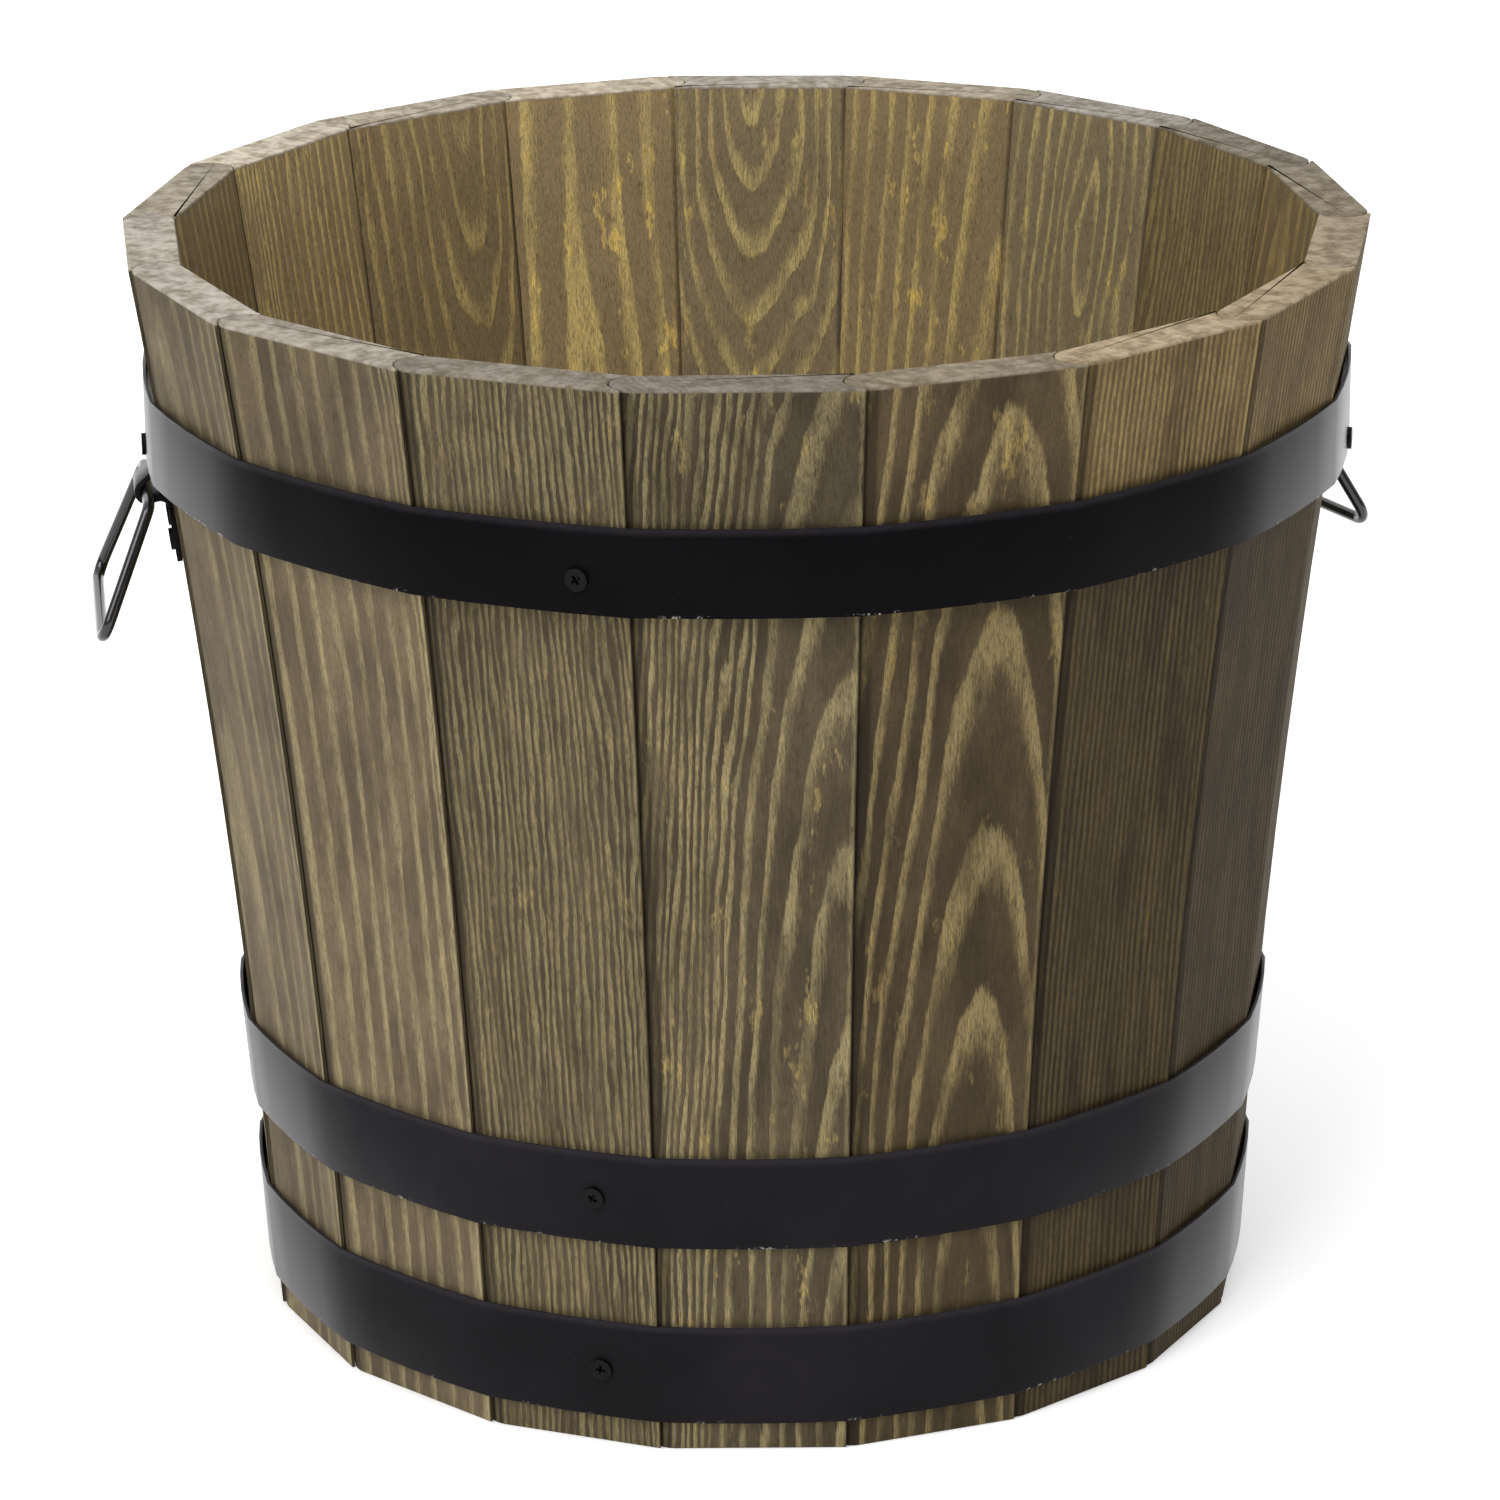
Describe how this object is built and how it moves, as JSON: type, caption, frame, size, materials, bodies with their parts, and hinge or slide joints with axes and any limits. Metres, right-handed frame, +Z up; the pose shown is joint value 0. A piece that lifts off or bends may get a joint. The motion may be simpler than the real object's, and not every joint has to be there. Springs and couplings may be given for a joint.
{
  "type": "barrel planter",
  "caption": "Flared round planter of stained bead-and-cove wood staves in black steel hoops, with a slatted base and a drop bail handle on each side.",
  "frame": {"origin": "on the floor at the planter's vertical axis, the centre of the ring of staves", "axes": "+Z up along the planter's axis, -Y to the front, so the bails are near -X and +X"},
  "size_m": [0.4747, 0.4445, 0.401],
  "materials": {
    "stained_pine": "brown-stained pine, matt, with visible grain",
    "plain_pine": "plain sawn pine",
    "black_strap": "satin black coated steel",
    "black_screw": "black coated pan-head screws",
    "black_rod": "gloss black coated steel rod"
  },
  "bodies": {
    "planter": {"stave_01": "stained_pine", "stave_02": "stained_pine", "stave_03": "stained_pine", "stave_04": "stained_pine", "stave_05": "stained_pine", "stave_06": "stained_pine", "stave_07": "stained_pine", "stave_08": "stained_pine", "stave_09": "stained_pine", "stave_10": "stained_pine", "stave_11": "stained_pine", "stave_12": "stained_pine", "stave_13": "stained_pine", "stave_14": "stained_pine", "stave_15": "stained_pine", "stave_16": "stained_pine", "stave_17": "stained_pine", "stave_18": "stained_pine", "hoop_top": "black_strap", "hoop_middle": "black_strap", "hoop_bottom": "black_strap", "hoop_top_screw_1": "black_screw", "hoop_top_screw_2": "black_screw", "hoop_top_screw_3": "black_screw", "hoop_top_screw_4": "black_screw", "hoop_top_screw_5": "black_screw", "hoop_top_screw_6": "black_screw", "hoop_middle_screw_1": "black_screw", "hoop_middle_screw_2": "black_screw", "hoop_middle_screw_3": "black_screw", "hoop_middle_screw_4": "black_screw", "hoop_middle_screw_5": "black_screw", "hoop_bottom_screw_1": "black_screw", "hoop_bottom_screw_2": "black_screw", "hoop_bottom_screw_3": "black_screw", "hoop_bottom_screw_4": "black_screw", "hoop_bottom_screw_5": "black_screw", "base_board_1": "plain_pine", "base_board_2": "plain_pine", "base_board_3": "plain_pine", "base_board_4": "plain_pine", "batten_front": "plain_pine", "batten_back": "plain_pine", "batten_front_screw_1": "black_screw", "batten_front_screw_2": "black_screw", "batten_front_screw_3": "black_screw", "batten_front_screw_4": "black_screw", "batten_back_screw_1": "black_screw", "batten_back_screw_2": "black_screw", "batten_back_screw_3": "black_screw", "batten_back_screw_4": "black_screw", "bracket_left": "black_strap", "bracket_right": "black_strap", "bracket_left_screw_1": "black_screw", "bracket_left_screw_2": "black_screw", "bracket_right_screw_1": "black_screw", "bracket_right_screw_2": "black_screw"},
    "left_bail": {"bail_left": "black_rod"},
    "right_bail": {"bail_right": "black_rod"}
  },
  "joints": [
    {"name": "left_bail_hinge", "type": "hinge", "parent": "planter", "child": "left_bail", "pos_m": [-0.21648, -0.02476, 0.3107], "axis": [-0.1136, 0.9935, 0], "range_deg": [-36, 140]},
    {"name": "right_bail_hinge", "type": "hinge", "parent": "planter", "child": "right_bail", "pos_m": [0.19436, 0.097, 0.3053], "axis": [0.5073, -0.8618, 0], "range_deg": [-41, 134]}
  ]
}
